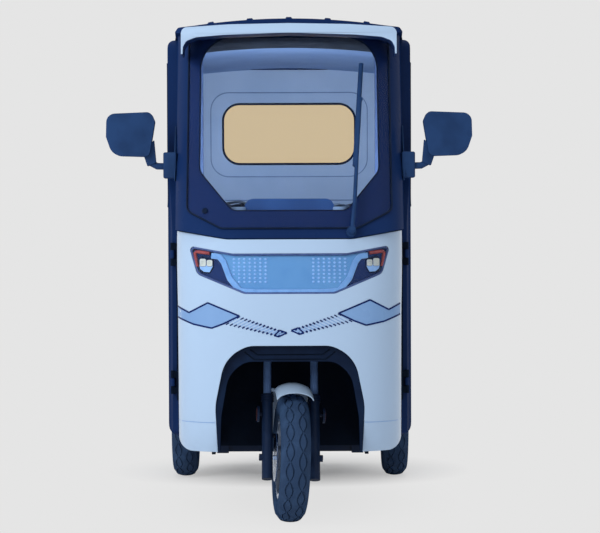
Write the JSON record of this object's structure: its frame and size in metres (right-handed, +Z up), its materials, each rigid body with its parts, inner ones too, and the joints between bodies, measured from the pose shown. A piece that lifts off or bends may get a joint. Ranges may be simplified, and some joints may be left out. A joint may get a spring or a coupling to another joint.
{
  "type": "enclosed three-wheeled electric moped",
  "caption": "Closed-cab moped with one steered front wheel on a telescopic fork, two rear wheels, hinged side doors, tandem seats, sun visor, lamp bar and mirrors.",
  "frame": {"origin": "on the ground at the middle of the vehicle's length and width", "axes": "-Y forward, +X to the driver's left, +Z up"},
  "size_m": [1.244, 2.1975, 1.7145],
  "materials": {
    "white_panel": "gloss",
    "black_panel": "gloss",
    "black_plastic": "matte",
    "tyre_rubber": "matte",
    "painted_steel": "satin",
    "chrome": "polished",
    "cast_alloy": "satin",
    "glass": "polished",
    "lamp_back": "gloss",
    "seat_cover": "satin",
    "red_lens": "gloss",
    "mirror": "polished"
  },
  "bodies": {
    "body": {"arch_trim": "black_plastic", "battery_box": "black_plastic", "bench_backrest": "seat_cover", "bench_cushion": "seat_cover", "chassis": "painted_steel", "dashboard": "black_plastic", "driver_backrest": "seat_cover", "driver_cushion": "seat_cover", "floor_pan": "black_plastic", "front_fascia": "white_panel", "headlamp_housing": "lamp_back", "headlamp_lens": "glass", "hinge_strip_left": "painted_steel", "hinge_strip_right": "painted_steel", "mirror_glass_left": "mirror", "mirror_glass_right": "mirror", "mirror_left": "black_plastic", "mirror_right": "black_plastic", "plate_holder": "black_plastic", "quarter_glass_left": "glass", "quarter_glass_right": "glass", "rear_axle": "painted_steel", "rear_body": "white_panel", "rear_bumper": "black_plastic", "rear_cabin": "black_panel", "rear_window_glass": "glass", "roof": "black_panel", "side_frame_left": "painted_steel", "side_frame_right": "painted_steel", "sun_visor": "white_panel", "tail_lamp_left": "red_lens", "tail_lamp_right": "red_lens", "wheel_house_left": "black_plastic", "wheel_house_right": "black_plastic", "wheel_well": "black_plastic", "windscreen_glass": "glass", "windscreen_surround": "black_panel", "wiper": "black_plastic"},
    "steering": {"fork_crown": "painted_steel", "fork_leg_left": "painted_steel", "fork_leg_right": "painted_steel", "stanchion_left": "chrome", "stanchion_right": "chrome", "handlebar": "painted_steel", "front_fender": "white_panel", "front_axle": "painted_steel"},
    "front_wheel": {"front_wheel_tyre": "tyre_rubber", "front_wheel_rim": "cast_alloy", "front_brake_disc": "chrome"},
    "rear_wheel_left": {"rear_wheel_left_tyre": "tyre_rubber", "rear_wheel_left_rim": "cast_alloy"},
    "rear_wheel_right": {"rear_wheel_right_tyre": "tyre_rubber", "rear_wheel_right_rim": "cast_alloy"},
    "door_left": {"door_left": "black_panel", "door_glass_left": "glass"},
    "door_right": {"door_right": "black_panel", "door_glass_right": "glass"}
  },
  "joints": [
    {"name": "steering_turn", "type": "hinge", "parent": "body", "child": "steering", "pos_m": [0, -0.86057, 0.20611], "axis": [0, 0.342, 0.9397], "range_deg": [-40.5, 29.5]},
    {"name": "front_wheel_spin", "type": "hinge", "parent": "steering", "child": "front_wheel", "pos_m": [0.00249, -0.88489, 0.21496], "axis": [0.9954, 0.0901, -0.0328], "continuous": true},
    {"name": "rear_wheel_left_spin", "type": "hinge", "parent": "body", "child": "rear_wheel_left", "pos_m": [0.419, 0.615, 0.215], "axis": [1, 0, 0], "continuous": true},
    {"name": "rear_wheel_right_spin", "type": "hinge", "parent": "body", "child": "rear_wheel_right", "pos_m": [-0.419, 0.615, 0.215], "axis": [1, 0, 0], "continuous": true},
    {"name": "door_left_swing", "type": "hinge", "parent": "body", "child": "door_left", "pos_m": [0.402, -0.705, 0.68], "axis": [0, 0, -1], "range_deg": [0, 70]},
    {"name": "door_right_swing", "type": "hinge", "parent": "body", "child": "door_right", "pos_m": [-0.402, -0.705, 0.68], "axis": [0, 0, 1], "range_deg": [0, 70]}
  ]
}
